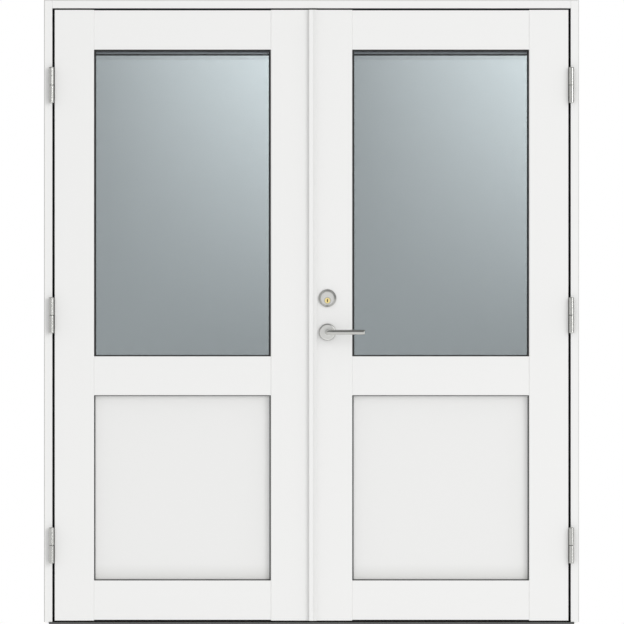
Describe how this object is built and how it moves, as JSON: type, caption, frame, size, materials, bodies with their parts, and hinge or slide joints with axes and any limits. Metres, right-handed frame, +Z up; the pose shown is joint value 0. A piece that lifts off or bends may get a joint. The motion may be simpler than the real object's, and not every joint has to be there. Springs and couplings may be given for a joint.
{
  "type": "french doors",
  "caption": "Pair of half-glazed white timber doors with flat lower panels, hung to open outward in a slim rebated frame with a threshold, lever handles and a mortise lock.",
  "frame": {"origin": "middle of the threshold's underside, halfway through the frame's depth", "axes": "+X to the right seen from outside, +Y into the room, +Z up"},
  "size_m": [1.78, 0.177, 2.08],
  "materials": {
    "white_timber": "sprayed satin white paint on pine",
    "white_panel": "satin white paint on a faced insulated panel",
    "hardwood": "oiled oak",
    "dark_cover": "dark grey anodised",
    "rubber": "matte black",
    "tinted_glass": "grey tinted float glass",
    "clear_glass": "clear float glass",
    "spacer_bar": "mill finish",
    "satin_steel": "satin",
    "hinge_pin_steel": "turned",
    "zinc_screws": "zinc plated",
    "lock_steel": "zinc plated",
    "lever_steel": "satin stainless",
    "plated_brass": "satin nickel plate on brass",
    "brass": "machined"
  },
  "bodies": {
    "frame": {"frame_jamb_left": "white_timber", "frame_jamb_right": "white_timber", "frame_head": "white_timber", "threshold_base": "hardwood", "threshold_cover": "dark_cover", "frame_seal": "rubber", "head_bolt_keep": "satin_steel", "threshold_bolt_keep": "satin_steel", "left_hinge_frame_halves": "satin_steel", "right_hinge_frame_halves": "satin_steel", "hinge_pins": "hinge_pin_steel", "frame_hinge_screws": "zinc_screws"},
    "passive_leaf": {"left_hinge_stile": "white_timber", "left_meeting_stile": "white_timber", "left_top_rail": "white_timber", "left_mid_rail": "white_timber", "left_bottom_rail": "white_timber", "left_lower_panel": "white_panel", "left_outer_pane": "tinted_glass", "left_inner_pane": "clear_glass", "left_glass_spacer": "spacer_bar", "left_glass_gaskets": "rubber", "left_panel_gasket": "rubber", "left_glazing_beads": "white_timber", "left_hinge_door_halves": "satin_steel", "left_leaf_screws": "zinc_screws", "strike_plate": "satin_steel", "top_bolt_plate": "satin_steel", "bottom_bolt_plate": "satin_steel"},
    "active_leaf": {"right_hinge_stile": "white_timber", "right_meeting_stile": "white_timber", "right_top_rail": "white_timber", "right_mid_rail": "white_timber", "right_bottom_rail": "white_timber", "right_lower_panel": "white_panel", "right_outer_pane": "tinted_glass", "right_inner_pane": "clear_glass", "right_glass_spacer": "spacer_bar", "right_glass_gaskets": "rubber", "right_panel_gasket": "rubber", "right_glazing_beads": "white_timber", "right_hinge_door_halves": "satin_steel", "right_leaf_screws": "zinc_screws", "astragal": "white_timber", "lock_case": "lock_steel", "lock_forend": "satin_steel", "outer_lever_rose": "lever_steel", "inner_lever_rose": "lever_steel", "cylinder_ring": "lever_steel", "cylinder_body": "plated_brass", "thumbturn_rose": "lever_steel"},
    "levers": {"outer_lever": "lever_steel", "inner_lever": "lever_steel", "lever_spindle": "lock_steel"},
    "latch": {"latch_bolt": "lock_steel"},
    "thumbturn": {"thumbturn": "lever_steel"},
    "deadbolt": {"deadbolt": "lock_steel"},
    "key_plug": {"key_plug": "brass"},
    "top_flush_bolt": {"top_flush_bolt": "satin_steel"},
    "bottom_flush_bolt": {"bottom_flush_bolt": "satin_steel"}
  },
  "joints": [
    {"name": "active_leaf_swing", "type": "hinge", "parent": "frame", "child": "active_leaf", "pos_m": [0.8655, -0.0695, 0], "axis": [0, 0, 1], "range_deg": [0, 110]},
    {"name": "passive_leaf_swing", "type": "hinge", "parent": "frame", "child": "passive_leaf", "pos_m": [-0.8655, -0.0695, 0], "axis": [0, 0, -1], "range_deg": [0, 110]},
    {"name": "lever_turn", "type": "hinge", "parent": "active_leaf", "child": "levers", "pos_m": [0.053, -0.0275, 0.975], "axis": [0, 1, 0], "range_deg": [0, 45], "stiffness_Nm_per_rad": 1.5, "springref_deg": -34.38},
    {"name": "latch_slide", "type": "slide", "parent": "active_leaf", "child": "latch", "axis": [1, 0, 0], "range_m": [0, 0.012]},
    {"name": "thumbturn_turn", "type": "hinge", "parent": "active_leaf", "child": "thumbturn", "pos_m": [0.053, -0.0275, 1.08], "axis": [0, 1, 0], "range_deg": [0, 90]},
    {"name": "deadbolt_slide", "type": "slide", "parent": "active_leaf", "child": "deadbolt", "axis": [-1, 0, 0], "range_m": [0, 0.02]},
    {"name": "key_plug_turn", "type": "hinge", "parent": "active_leaf", "child": "key_plug", "pos_m": [0.053, -0.0275, 1.08], "axis": [0, 1, 0], "range_deg": [0, 90]},
    {"name": "top_bolt_slide", "type": "slide", "parent": "passive_leaf", "child": "top_flush_bolt", "axis": [0, 0, 1], "range_m": [0, 0.018]},
    {"name": "bottom_bolt_slide", "type": "slide", "parent": "passive_leaf", "child": "bottom_flush_bolt", "axis": [0, 0, -1], "range_m": [0, 0.012]}
  ],
  "couplings": [
    {"joint": "latch_slide", "follows": "lever_turn", "m_per_rad": 0.015279},
    {"joint": "deadbolt_slide", "follows": "thumbturn_turn", "m_per_rad": 0.012732},
    {"joint": "key_plug_turn", "follows": "thumbturn_turn", "ratio": 1}
  ]
}
